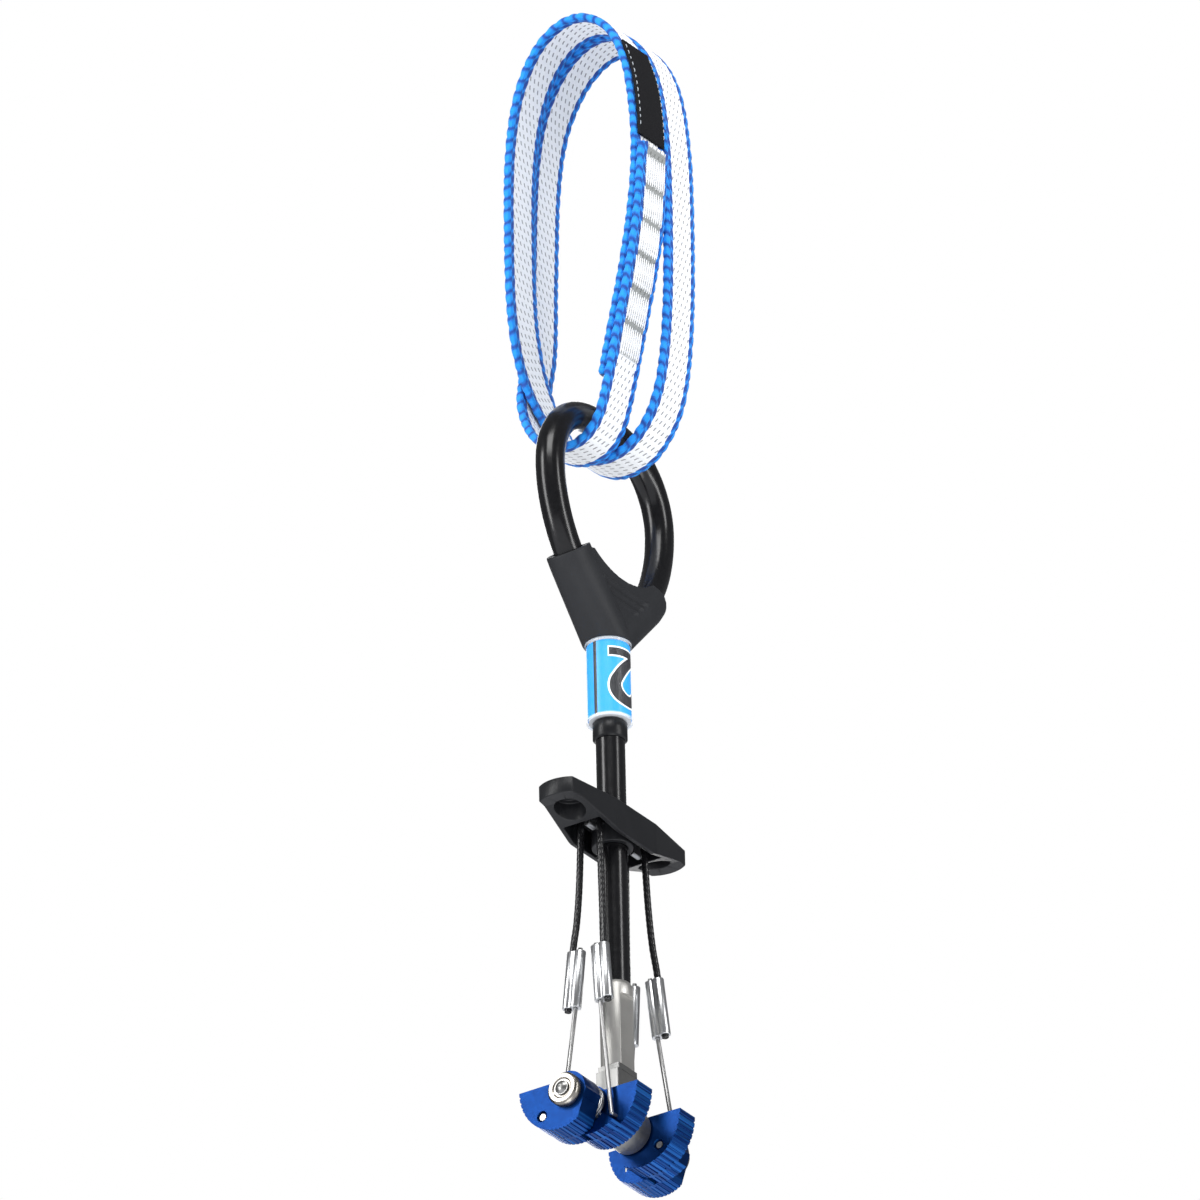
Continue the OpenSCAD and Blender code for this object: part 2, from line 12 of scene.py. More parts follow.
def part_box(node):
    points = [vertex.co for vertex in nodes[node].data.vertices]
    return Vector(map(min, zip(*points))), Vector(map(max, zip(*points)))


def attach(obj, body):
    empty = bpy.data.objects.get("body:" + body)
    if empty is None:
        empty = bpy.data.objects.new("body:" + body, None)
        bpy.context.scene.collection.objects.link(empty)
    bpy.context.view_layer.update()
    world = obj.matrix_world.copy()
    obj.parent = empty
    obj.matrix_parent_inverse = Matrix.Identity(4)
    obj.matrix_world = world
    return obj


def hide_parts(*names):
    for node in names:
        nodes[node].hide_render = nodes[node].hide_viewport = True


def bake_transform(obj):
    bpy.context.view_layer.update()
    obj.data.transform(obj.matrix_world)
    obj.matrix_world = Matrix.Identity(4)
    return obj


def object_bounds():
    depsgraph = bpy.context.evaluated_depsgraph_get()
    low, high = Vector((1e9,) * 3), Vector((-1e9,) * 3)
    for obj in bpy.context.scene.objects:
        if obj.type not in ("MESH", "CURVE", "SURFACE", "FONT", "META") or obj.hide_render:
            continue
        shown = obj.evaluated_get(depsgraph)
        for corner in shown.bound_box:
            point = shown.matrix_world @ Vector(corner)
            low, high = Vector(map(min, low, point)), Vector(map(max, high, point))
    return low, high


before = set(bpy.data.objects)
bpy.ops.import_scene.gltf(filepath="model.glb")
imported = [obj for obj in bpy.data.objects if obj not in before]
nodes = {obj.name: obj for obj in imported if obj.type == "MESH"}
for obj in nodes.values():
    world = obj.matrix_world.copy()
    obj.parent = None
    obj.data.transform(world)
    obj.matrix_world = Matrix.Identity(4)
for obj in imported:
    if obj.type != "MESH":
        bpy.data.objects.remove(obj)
cad_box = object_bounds()

MM = 0.001
LOBES = ("outer_left", "inner_left", "inner_right", "outer_right")

# The axle's middle, from which the device's own heights are counted
AXLE_LOW, AXLE_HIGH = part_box("axle")
AXLE = (AXLE_LOW + AXLE_HIGH) / 2


def at(x, y, z):
    """A point given in millimetres from the axle's middle, in the row frame."""
    return AXLE + Vector((x, y, z)) * MM


# ---------------------------------------------------------------- camera and stage

# Angles in degrees, distances in metres, the aim in millimetres from the axle's middle
VIEW_AZIMUTH = -57.1
VIEW_ELEVATION = -27.0
VIEW_DISTANCE = 12.0
FRAME_WIDTH = 0.2667
AIM_HEIGHT = 130.4
AIM_LEFT = 1.56
ROLL = math.radians(-1.3)
SENSOR_WIDTH = 36
CLIP_START, CLIP_END = 0.05, 100

# The floor lies far below, where no view from underneath meets it
FLOOR_DROP = 12.5
FLOOR_REACH = 40.0

# World light by kind of ray: what the camera, matt surfaces and glossy surfaces see
BACKDROP_GLOW = 1.0
DIFFUSE_GLOW = 1.1
MIRROR_GLOW = 0.16
COOL_WHITE = (0.95, 0.965, 1.0)

# name, azimuth, elevation, distance, size and power
LIGHTS = (
    ("key", -118, 8, 0.8, (0.22, 0.8), 4.2),
    ("fill", 0, 0, 0.8, (0.16, 0.8), 3.2),
    ("front", -62, 45, 0.9, (0.5, 0.4), 4.0),
    ("under", -50, -78, 0.8, (0.5, 0.5), 2.6),
    ("rim", 128, 20, 0.9, (0.4, 0.8), 3.5),
)


def view_vector(azimuth, elevation):
    """Unit vector from the object towards a place round it, by the camera's angles."""
    a = math.radians(azimuth)
    e = math.radians(elevation)
    return Vector((math.sin(a) * math.cos(e), -math.cos(a) * math.cos(e), math.sin(e)))


def make_camera():
    """A long lens far away: the view is nearly without perspective."""
    cam = bpy.data.cameras.new("camera")
    obj = bpy.data.objects.new("camera", cam)
    bpy.context.scene.collection.objects.link(obj)
    back = view_vector(VIEW_AZIMUTH, VIEW_ELEVATION)
    look = (-back).to_track_quat("-Z", "Y")
    right = look @ Vector((1, 0, 0))
    target = at(0, 0, AIM_HEIGHT) - right * AIM_LEFT * MM
    obj.location = target + back * VIEW_DISTANCE
    obj.rotation_mode = "QUATERNION"
    obj.rotation_quaternion = look @ Quaternion((0, 0, 1), ROLL)
    cam.sensor_width = SENSOR_WIDTH
    cam.lens = cam.sensor_width * VIEW_DISTANCE / FRAME_WIDTH
    cam.clip_start = CLIP_START
    cam.clip_end = CLIP_END
    bpy.context.scene.camera = obj


def area_light(name, place, aim, size, power):
    data = bpy.data.lights.new(name, "AREA")
    data.shape = "RECTANGLE"
    data.size, data.size_y = size
    data.energy = power
    obj = bpy.data.objects.new(name, data)
    bpy.context.scene.collection.objects.link(obj)
    obj.location = place
    obj.rotation_mode = "QUATERNION"
    obj.rotation_quaternion = (Vector(aim) - Vector(place)).to_track_quat("-Z", "Y")


def make_stage():
    """White studio: world light, a floor and area lights."""
    scene = bpy.context.scene
    scene.view_settings.view_transform = "Standard"
    world = bpy.data.worlds.new("studio")
    scene.world = world
    world.use_nodes = True
    tree = world.node_tree
    tree.nodes.clear()
    out = tree.nodes.new("ShaderNodeOutputWorld")
    path = tree.nodes.new("ShaderNodeLightPath")

    def glow(colour, strength):
        made = tree.nodes.new("ShaderNodeBackground")
        made.inputs["Color"].default_value = (*colour, 1)
        made.inputs["Strength"].default_value = strength
        return made.outputs[0]

    def either(ray, no, yes):
        made = tree.nodes.new("ShaderNodeMixShader")
        tree.links.new(path.outputs[ray], made.inputs[0])
        tree.links.new(no, made.inputs[1])
        tree.links.new(yes, made.inputs[2])
        return made.outputs[0]

    lit = either("Is Diffuse Ray", glow(COOL_WHITE, MIRROR_GLOW), glow(COOL_WHITE, DIFFUSE_GLOW))
    backdrop = glow((1, 1, 1), BACKDROP_GLOW)
    tree.links.new(either("Is Camera Ray", lit, backdrop), out.inputs[0])

    mesh = bpy.data.meshes.new("floor")
    low, high = cad_box
    corners = [(x * FLOOR_REACH, y * FLOOR_REACH, low.z - FLOOR_DROP)
               for x, y in ((-1, -1), (1, -1), (1, 1), (-1, 1))]
    mesh.from_pydata(corners, [], [(0, 1, 2, 3)])
    floor = bpy.data.objects.new("floor", mesh)
    scene.collection.objects.link(floor)
    paint = bpy.data.materials.new("floor_paint")
    paint.use_nodes = True
    shader = paint.node_tree.nodes["Principled BSDF"]
    shader.inputs["Base Color"].default_value = (0.82, 0.82, 0.83, 1)
    shader.inputs["Roughness"].default_value = 0.8
    mesh.materials.append(paint)

    middle = (low + high) / 2
    for name, azimuth, elevation, away, size, power in LIGHTS:
        area_light(name, middle + view_vector(azimuth, elevation) * away, middle, size, power)


make_camera()
make_stage()


# ---------------------------------------------------------------- mesh helpers

def new_piece(name, mesh, body=None, stands_for=(), smooth=True):
    """An object that rides on a body and replaces CAD nodes."""
    obj = bpy.data.objects.new(name, mesh)
    bpy.context.scene.collection.objects.link(obj)
    if smooth:
        mesh.shade_smooth()
    if body:
        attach(obj, body)
    if stands_for:
        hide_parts(*stands_for)
    return obj


def unit(v):
    """Vectors of length 1."""
    v = np.asarray(v, float)
    return v / np.linalg.norm(v, axis=-1, keepdims=True)


def placed(points):
    """Points in millimetres from the axle's middle, as metres in the row frame."""
    return np.asarray(points, float) * MM + np.array(AXLE)


def spline(route, steps):
    """Catmull-Rom line through the route's points, as the CAD source draws it."""
    p = np.asarray(route, float)
    ids = np.arange(len(p) - 1)
    p0, p1 = p[np.maximum(ids - 1, 0)], p[ids]
    p2, p3 = p[ids + 1], p[np.minimum(ids + 2, len(p) - 1)]
    t = (np.arange(steps) / steps)[None, :, None]
    p0, p1, p2, p3 = (q[:, None, :] for q in (p0, p1, p2, p3))
    line = 0.5 * (2 * p1 + (p2 - p0) * t + (2 * p0 - 5 * p1 + 4 * p2 - p3) * t ** 2
                  + (3 * p1 - p0 - 3 * p2 + p3) * t ** 3)
    return np.vstack([line.reshape(-1, 3), p[-1:]])


def evenly(line, step):
    """The same line with points an even step apart, and the distance along it of each."""
    line = np.asarray(line, float)
    run = np.concatenate([[0], np.cumsum(np.linalg.norm(np.diff(line, axis=0), axis=1))])
    count = max(2, int(round(run[-1] / step)) + 1)
    s = np.linspace(0, run[-1], count)
    return np.stack([np.interp(s, run, line[:, i]) for i in range(3)], 1), s


def tangents(line):
    """Unit vectors along a line, one at each point."""
    return unit(np.gradient(np.asarray(line, float), axis=0))


def rings_mesh(name, rings, across, along, layer=None):
    """A closed solid from rings of points (n, m, 3).

    The point attribute "run" holds the place on it in millimetres: across, along and layer.
    """
    n, m = rings.shape[:2]
    i = np.arange(n - 1)[:, None]
    j = np.arange(m)[None, :]
    k = (j + 1) % m
    quads = np.stack([i * m + j, i * m + k, (i + 1) * m + k, (i + 1) * m + j], -1).reshape(-1, 4)
    faces = quads.tolist() + [list(range(m - 1, -1, -1)), list(range((n - 1) * m, n * m))]
    mesh = bpy.data.meshes.new(name)
    mesh.from_pydata((rings.reshape(-1, 3)).tolist(), [], faces)
    run = np.zeros((n, m, 3))
    run[..., 0] = across
    run[..., 1] = np.asarray(along)[:, None]
    run[..., 2] = 0 if layer is None else layer
    mesh.attributes.new("run", "FLOAT_VECTOR", "POINT").data.foreach_set("vector", run.ravel())
    mesh.update()
    return mesh


def round_frames(line):
    """Two unit vectors across a line at each point, turned as little as possible."""
    along = tangents(line)
    side = np.zeros_like(along)
    first = np.array([0.0, 1.0, 0.0])
    for i, d in enumerate(along):
        first = first - np.dot(first, d) * d
        first = first / np.linalg.norm(first)
        side[i] = first
    return side, np.cross(along, side)


def tube_mesh(name, line, radius, around=32, relief=None):
    """A round tube along a line in millimetres; relief(angle, distance) adds to the radius."""
    line = np.asarray(line, float)
    side, up = round_frames(line)
    s = np.concatenate([[0], np.cumsum(np.linalg.norm(np.diff(line, axis=0), axis=1))])
    angle = np.arange(around) * 2 * math.pi / around
    r = np.broadcast_to(np.asarray(radius, float).reshape(-1, 1), (len(line), around)).copy()
    if relief is not None:
        r = r + relief(angle[None, :], s[:, None])
    rings = (line[:, None, :]
             + (r * np.cos(angle))[..., None] * side[:, None, :]
             + (r * np.sin(angle))[..., None] * up[:, None, :])
    return rings_mesh(name, placed(rings), np.degrees(angle), s)


# ---------------------------------------------------------------- material helpers

NOISE_ROUGHNESS = 0.55


class Paint:
    """A procedural material: a Principled shader and short calls that add nodes to it."""

    def __init__(self, name, colour=(0.5, 0.5, 0.5), rough=0.5, metal=0.0):
        self.mat = bpy.data.materials.new(name)
        self.mat.use_nodes = True
        self.tree = self.mat.node_tree
        self.shader = self.tree.nodes["Principled BSDF"]
        self.set("Base Color", (*colour, 1))
        self.set("Roughness", rough)
        self.set("Metallic", metal)
        self.last_bump = None

    def set(self, socket, value):
        self.shader.inputs[socket].default_value = value

    def feed(self, socket, output):
        self.tree.links.new(output, self.shader.inputs[socket])

    def node(self, kind, **values):
        made = self.tree.nodes.new("ShaderNode" + kind)
        for key, value in values.items():
            setattr(made, key, value)
        return made

    def place(self, what="Object"):
        return self.node("TexCoord").outputs[what]

    def run(self):
        """Place on a swept piece in millimetres: across, along, layer."""
        return self.node("Attribute", attribute_name="run").outputs["Vector"]

    def scaled(self, vector, scale):
        mapping = self.node("Mapping")
        self.tree.links.new(vector, mapping.inputs["Vector"])
        mapping.inputs["Scale"].default_value = scale
        return mapping.outputs["Vector"]

    def noise(self, scale, detail=3.0, vector=None):
        made = self.node("TexNoise")
        self.tree.links.new(vector or self.place(), made.inputs["Vector"])
        made.inputs["Scale"].default_value = scale
        made.inputs["Detail"].default_value = detail
        made.inputs["Roughness"].default_value = NOISE_ROUGHNESS
        return made.outputs["Fac"]

    def math(self, operation, a, b=None, c=None):
        made = self.node("Math", operation=operation)
        for slot_index, value in enumerate((a, b, c)):
            if value is None:
                continue
            if isinstance(value, (int, float)):
                made.inputs[slot_index].default_value = value
            else:
                self.tree.links.new(value, made.inputs[slot_index])
        return made.outputs[0]

    def split(self, vector):
        made = self.node("SeparateXYZ")
        self.tree.links.new(vector, made.inputs[0])
        return made.outputs

    def step(self, value, low, high):
        """0 below low, 1 above high, smooth between them."""
        made = self.node("MapRange", interpolation_type="SMOOTHSTEP")
        self.tree.links.new(value, made.inputs["Value"])
        made.inputs["From Min"].default_value = low
        made.inputs["From Max"].default_value = high
        return made.outputs["Result"]

    def span(self, value, low, high):
        """Maps 0..1 onto low..high."""
        made = self.node("MapRange")
        self.tree.links.new(value, made.inputs["Value"])
        made.inputs["To Min"].default_value = low
        made.inputs["To Max"].default_value = high
        return made.outputs["Result"]

    def mix(self, share, a, b):
        """Colour a at share 0 and b at share 1; each is a colour or an output."""
        made = self.node("Mix", data_type="RGBA")
        self.tree.links.new(share, made.inputs[0])
        for index, value in ((6, a), (7, b)):
            if isinstance(value, tuple):
                made.inputs[index].default_value = (*value, 1)
            else:
                self.tree.links.new(value, made.inputs[index])
        return made.outputs[2]

    def bump(self, height, distance, strength=1.0):
        made = self.node("Bump")
        made.inputs["Strength"].default_value = strength
        made.inputs["Distance"].default_value = distance
        self.tree.links.new(height, made.inputs["Height"])
        if self.last_bump is not None:
            self.tree.links.new(self.last_bump, made.inputs["Normal"])
        self.last_bump = made.outputs["Normal"]
        self.feed("Normal", self.last_bump)


# ---------------------------------------------------------------- weave of the sling, in millimetres

WEB_WIDTH = 11.0
WEB_THICK = 1.6

# Blue edges: their width, the pitch and the lean of their beads
BLUE_EDGE = 1.9
BEAD = 2.9
BEAD_LEAN = 0.3

# Pitches of the gaps between the white yarns
GAP_ALONG = 1.9
GAP_ACROSS = 1.55
WARP_PITCH = 0.42

# Sewn overlap, from the outer cut end: its length, the first bar tack and their pitch
SEWN = 52.0
TACK_START = 6.055
TACK_PITCH = 8.18


# ---------------------------------------------------------------- materials

def webbing_paint():
    """White tape with bead-like blue edges, and short shadow gaps between the white yarns."""
    paint = Paint("webbing", rough=0.8)
    across, along, _ = paint.split(paint.run())
    wide = paint.math("ABSOLUTE", across)
    fibre = paint.noise(1.0, detail=4, vector=paint.scaled(paint.run(), (7, 1.1, 1)))
    lean = paint.math("ADD", along, paint.math("MULTIPLY", wide, BEAD_LEAN * BEAD))
    lean = paint.math("ADD", lean, paint.math("MULTIPLY", paint.noise(0.5, vector=paint.run()), 1.1))
    bead = paint.math("ABSOLUTE", paint.math("SINE", paint.math("MULTIPLY", lean, math.pi / BEAD)))
    inner = paint.math("SUBTRACT", 1.0, bead)
    outside = paint.step(wide, WEB_WIDTH / 2 - 0.95, WEB_WIDTH / 2 - 0.75)
    lit = paint.math("ADD", paint.math("MULTIPLY", outside, bead),
                     paint.math("MULTIPLY", paint.math("SUBTRACT", 1.0, outside), inner))
    streak = paint.noise(1.0, detail=3, vector=paint.scaled(paint.run(), (9, 0.8, 9)))
    lit = paint.math("MULTIPLY", lit, paint.span(streak, 0.25, 1.7))
    thread = paint.mix(paint.step(lit, 0.05, 1.0), (0.0, 0.05, 0.3), (0.002, 0.25, 0.78))
    edge = paint.math("ADD", wide, paint.math("MULTIPLY", bead, 0.28))
    blue_from = WEB_WIDTH / 2 - BLUE_EDGE
    blue = paint.step(edge, blue_from + 0.05, blue_from + 0.2)
    row = paint.math("COSINE", paint.math("MULTIPLY", along, 2 * math.pi / GAP_ALONG))
    slant = paint.math("ADD", paint.math("DIVIDE", across, GAP_ACROSS),
                       paint.math("DIVIDE", along, 2 * GAP_ALONG))
    column = paint.math("ABSOLUTE", paint.math("COSINE", paint.math("MULTIPLY", slant, math.pi)))
    gap = paint.math("MULTIPLY", paint.step(row, -0.25, 0.35), paint.step(column, 0.86, 0.97))
    white = paint.mix(fibre, (0.7, 0.73, 0.76), (0.93, 0.94, 0.95))
    white = paint.mix(paint.math("MULTIPLY", gap, 0.85), white, (0.2, 0.2, 0.21))
    from_first = paint.math("SUBTRACT", along, TACK_START)
    period = paint.math("MULTIPLY", from_first, 2 * math.pi / TACK_PITCH)
    between = paint.step(paint.math("COSINE", period), -0.1, -0.6)
    sewn = paint.math("MULTIPLY", paint.step(along, SEWN - 1, SEWN - 2), paint.step(wide, 4.0, 3.6))
    shade = paint.math("MULTIPLY", paint.math("MULTIPLY", between, sewn), 0.85)
    white = paint.mix(shade, white, (0.14, 0.15, 0.14))
    paint.feed("Base Color", paint.mix(blue, white, thread))
    paint.set("Sheen Weight", 0.08)
    paint.set("Sheen Roughness", 0.4)
    warp = paint.math("SINE", paint.math("MULTIPLY", across, 2 * math.pi / WARP_PITCH))
    height = paint.math("MULTIPLY_ADD", warp, 0.5, paint.math("MULTIPLY", fibre, 1.5))
    height = paint.math("SUBTRACT", height, paint.math("MULTIPLY", gap, 1.5))
    paint.bump(height, 0.00006)
    return paint.mat


def thread_paint(name, light, dark):
    """Twisted sewing thread, painted darker in the grooves between its plies."""
    paint = Paint(name, rough=0.6)
    angle, along, _ = paint.split(paint.run())
    turn = paint.math("ADD", paint.math("MULTIPLY", angle, math.pi / 90), paint.math("MULTIPLY", along, 9))
    ply = paint.math("MULTIPLY_ADD", paint.math("SINE", turn), 0.5, 0.5)
    fuzz = paint.noise(9000)
    # Painted shade: the colour darkens in the grooves between the plies, mixed with random fuzz.
    paint.feed("Base Color", paint.mix(paint.math("MULTIPLY", ply, fuzz), dark, light))
    paint.set("Sheen Weight", 0.3)
    paint.bump(ply, 0.00004)
    return paint.mat


def patch_paint():
    """Black woven label tape, with a fine plain weave."""
    yarn_pitch = 0.4
    paint = Paint("patch", rough=0.8)
    across, along, _ = paint.split(paint.run())
    weft = paint.math("SINE", paint.math("MULTIPLY", along, 2 * math.pi / yarn_pitch))
    warp = paint.math("SINE", paint.math("MULTIPLY", across, 2 * math.pi / yarn_pitch))
    cloth = paint.math("MULTIPLY_ADD", paint.math("MULTIPLY", weft, warp), 0.5, 0.5)
    paint.feed("Base Color", paint.mix(cloth, (0.002, 0.002, 0.003), (0.014, 0.014, 0.016)))
    paint.set("Specular IOR Level", 0.2)
    paint.bump(cloth, 0.00005)
    return paint.mat


def hose_paint():
    """Glossy black plastic hose, with faint drawing lines and handling marks."""
    paint = Paint("hose", rough=0.14)
    marks = paint.noise(900, detail=5)
    paint.feed("Base Color", paint.mix(marks, (0.002, 0.002, 0.0025), (0.006, 0.006, 0.007)))
    paint.feed("Roughness", paint.span(marks, 0.16, 0.3))
    paint.set("Specular IOR Level", 0.4)
    paint.set("Coat Weight", 0.15)
    paint.set("Coat Roughness", 0.12)
    paint.bump(paint.noise(260, detail=2), 0.00012, 0.5)
    return paint.mat


def moulded_paint(name, dark, light, rough_low, rough_high):
    """Moulded plastic or rubber with a fine spark-eroded grain."""
    paint = Paint(name)
    fine = paint.noise(4200, detail=4)
    cloud = paint.noise(160, detail=3)
    paint.feed("Base Color", paint.mix(cloud, dark, light))
    paint.feed("Roughness", paint.span(fine, rough_low, rough_high))
    paint.set("Specular IOR Level", 0.3)
    paint.bump(fine, 0.00003)
    return paint.mat


def label_paint():
    """Printed cyan label with a black stripe up one side."""
    stripe_at, stripe_half, stripe_blur = 176, 6.0, 0.6
    paint = Paint("label", rough=0.35)
    x, y, _ = paint.split(paint.place())
    turn = paint.math("ARCTAN2", y, x)
    away = paint.math("ABSOLUTE", paint.math("SUBTRACT", turn, math.radians(stripe_at)))
    stripe = paint.step(away, math.radians(stripe_half + stripe_blur), math.radians(stripe_half))
    grain = paint.noise(1500, detail=3)
    blue = paint.mix(grain, (0.0, 0.30, 0.80), (0.0, 0.37, 0.90))
    paint.feed("Base Color", paint.mix(stripe, blue, (0.008, 0.008, 0.01)))
    paint.feed("Roughness", paint.span(grain, 0.28, 0.42))
    return paint.mat


def print_paint(name, dark, light):
    """Ink of the printed digit."""
    paint = Paint(name)
    grain = paint.noise(2500, detail=3)
    paint.feed("Base Color", paint.mix(grain, dark, light))
    paint.feed("Roughness", paint.span(grain, 0.3, 0.42))
    return paint.mat


def shrink_paint():
    """Thin clear shrink tube, seen by its gloss, with a painted whitish highlight at its rims."""
    paint = Paint("shrink", (0.9, 0.95, 1.0), 0.08)
    z = paint.split(paint.place())[2]
    low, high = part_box("label_shrink")
    above = paint.math("SUBTRACT", z, low.z)
    below = paint.math("SUBTRACT", high.z, z)
    from_end = paint.math("MINIMUM", above, below)
    rim = paint.step(from_end, 0.0007, 0.0003)
    scuff = paint.noise(700, detail=4)
    # Painted highlight: the rims are made partly opaque and whitish, standing in for the glint on the
    # tube's cut ends.
    rim_glint = paint.math("MULTIPLY", rim, 0.35)
    paint.feed("Alpha", paint.math("ADD", paint.span(scuff, 0.0, 0.03), rim_glint))
    paint.feed("Roughness", paint.span(scuff, 0.05, 0.2))
    paint.set("Coat Weight", 0.6)
    paint.set("Coat Roughness", 0.05)
    return paint.mat


def steel_paint(name, dark, light, rough_low, rough_high, stretch=(1, 1, 1), scale=1500, depth=0.00001):
    """Bare metal with fine machining or drawing lines along the stretched axis."""
    paint = Paint(name, metal=1.0)
    lines = paint.noise(scale, detail=5, vector=paint.scaled(paint.place(), stretch))
    stain = paint.noise(220, detail=3)
    paint.feed("Base Color", paint.mix(stain, dark, light))
    paint.feed("Roughness", paint.span(lines, rough_low, rough_high))
    paint.bump(lines, depth)
    return paint.mat


def strand_paint(name, dark, light, rough, metal=0.0, coat=0.0):
    """Cable or spring wire: relief is in the mesh, this adds drawing marks."""
    paint = Paint(name, metal=metal)
    marks = paint.noise(3500, detail=4)
    paint.feed("Base Color", paint.mix(marks, dark, light))
    paint.feed("Roughness", paint.span(marks, rough * 0.7, rough * 1.4))
    paint.set("Coat Weight", coat)
    paint.set("Coat Roughness", 0.1)
    paint.bump(marks, 0.00001)
    return paint.mat


# Metres: nearer to the axle than this a lobe is its hub, with no camming face
HUB_R = 0.0064


def cam_paint():
    """Blue anodised alloy: deep blue machined sides, and brushed camming faces painted a lighter blue as
    if lit from below, with painted reflections along their streaks.
    """
    paint = Paint("cam", metal=0.85)
    nx = paint.math("ABSOLUTE", paint.split(paint.place("Normal"))[0])
    _, y, z = paint.split(paint.place())
    height = paint.math("SUBTRACT", z, AXLE.z)
    radius = paint.math("SQRT", paint.math("ADD", paint.math("MULTIPLY", y, y),
                                           paint.math("MULTIPLY", height, height)))
    side = paint.step(nx, 0.9, 0.985)
    rim = paint.step(radius, HUB_R, HUB_R + 0.0004)
    face = paint.math("MULTIPLY", paint.math("SUBTRACT", 1.0, side), rim)
    streak = paint.noise(900, detail=5, vector=paint.scaled(paint.place(), (0.015, 1.3, 1.3)))
    cloud = paint.noise(260, detail=3)
    deep = paint.mix(cloud, (0.0, 0.018, 0.1), (0.0, 0.034, 0.17))
    # Painted light: the camming faces get a lighter blue than the sides, standing in for light from below,
    # and their streaks are painted reflections; the streaks' roughness and bump are real machining.
    lit_face_blue = paint.mix(paint.step(streak, 0.35, 0.75), (0.0, 0.03, 0.18), (0.02, 0.17, 0.58))
    paint.feed("Base Color", paint.mix(face, deep, lit_face_blue))
    paint.feed("Roughness", paint.math("ADD", paint.span(streak, 0.22, 0.42),
                                       paint.math("MULTIPLY", face, 0.06)))
    paint.set("Coat Weight", 0.04)
    paint.set("Coat Roughness", 0.2)
    paint.set("Specular IOR Level", 0.25)
    paint.bump(streak, 0.00001)
    return paint.mat


# ---------------------------------------------------------------- sling

LINE_STEPS = 24
LINE_PITCH = 0.24
SURFACE_PITCH = 0.26
FRAY = 0.6
EDGE_SCALLOP = 0.2

TACK_PASSES = 19
TACK_HALF_W = 3.5
TACK_HALF_H = 3.7
TACK_THREAD_R = 0.16

PATCH_WIDTH = 10.3
PATCH_THICK = 0.62
PATCH_PITCH = 0.3
SEAM_EDGE = 4.7
STITCH_PITCH = 1.7
STITCH_THREAD_R = 0.11
SLING_ROUTE = [
    (-5.6, -18.6, 235), (-5.6, -17, 219), (-5.6, -14.6, 206), (-5.6, -12, 195),
    (-5.6, -9.6, 185), (-5.6, -7.4, 176.5), (-5.6, -5.2, 170.4), (-5.6, -1.4, 166.4),
    (-5.6, 3.8, 165.4), (-5, 9.6, 168), (-3.2, 14.4, 173.6), (-1.2, 17.6, 181),
    (2, 19.1, 190), (5.2, 19.3, 202), (5.7, 18.9, 220), (5.7, 17.7, 242), (5.7, 15, 256),
    (5.7, 9.6, 265.8), (5.7, 3, 270.8), (5.7, -4, 271), (5.7, -10.5, 266.4),
    (5.7, -15, 257), (5.7, -17.2, 242), (5.7, -17.6, 222), (5.7, -17, 200),
    (5.7, -15.2, 184), (5.7, -12, 174.4), (5.7, -6.6, 168.2), (5.7, 0, 166.2),
    (5.7, 6.2, 168), (4.6, 11.4, 173), (2, 15, 180), (-1.8, 17.1, 190),
    (-5.2, 17.3, 203), (-5.6, 17.4, 222), (-5.6, 16.7, 242), (-5.6, 14.2, 256),
    (-5.6, 9.4, 265.8), (-5.6, 3, 270.8), (-5.6, -4, 271), (-5.6, -10.5, 266),
    (-5.6, -14.8, 256), (-5.6, -16.6, 242), (-5.6, -16.6, 231), (-5.6, -15.3, 219.3),
    (-5.6, -12.9, 206.4), (-5.6, -10.3, 195.4), (-5.6, -7.9, 185.5), (-5.6, -6.9, 181),
]
PATCH_ROUTE = [
    (-5.6, -14.2, 262), (-5.6, -16.7, 254), (-5.6, -17.9, 245), (-5.6, -18.1, 237.5),
]
TACK_Z = (189, 197, 205, 213, 221, 229)


def strap_frames(line):
    """Across (towards +X) and outward unit vectors at each point of a strap's middle line."""
    along = tangents(line)
    side = unit(np.array([1.0, 0, 0]) - along[:, :1] * along)
    return side, np.cross(along, side)


def strap_mesh(name, line, width, thick, across_step, relief, beads=0.0, ragged=0.0):
    """A flat woven strap; relief(across, along, face) adds to its half thickness.

    beads is how far the beads of its edges stick out, ragged how far its cut ends fray.
    """
    side, up = strap_frames(line)
    s = np.concatenate([[0], np.cumsum(np.linalg.norm(np.diff(line, axis=0), axis=1))])
    corner = thick * 0.42
    flat = np.linspace(-width / 2 + corner, width / 2 - corner, int(width / across_step))
    turn = np.radians([-60, -30, 0, 30, 60])
    edge_u = width / 2 - corner + corner * np.cos(turn)
    edge_w = corner * np.sin(turn) * thick / (2 * corner)
    u = np.concatenate([flat, edge_u, flat[::-1], -edge_u[::-1]])
    w = np.concatenate([np.full(len(flat), -thick / 2), edge_w, np.full(len(flat), thick / 2),
                        edge_w[::-1]])
    face = np.sign(w) * (np.abs(w) > thick * 0.3)
    h = w[None, :] + face * relief(u[None, :], s[:, None], face[None, :])
    scallop = beads * np.sign(u) * (np.abs(u) > width / 2 - corner) * bead_height(u, s[:, None])
    rings = (line[:, None, :]
             + (u + scallop)[..., None] * side[:, None, :]
             + h[..., None] * up[:, None, :])
    if ragged:
        fray = np.random.default_rng(7).uniform(0, ragged, (2, len(u)))
        along = tangents(line)
        rings[0] -= fray[0][:, None] * along[0]
        rings[-1] += fray[1][:, None] * along[-1]
    return rings_mesh(name, placed(rings), u, s, w)


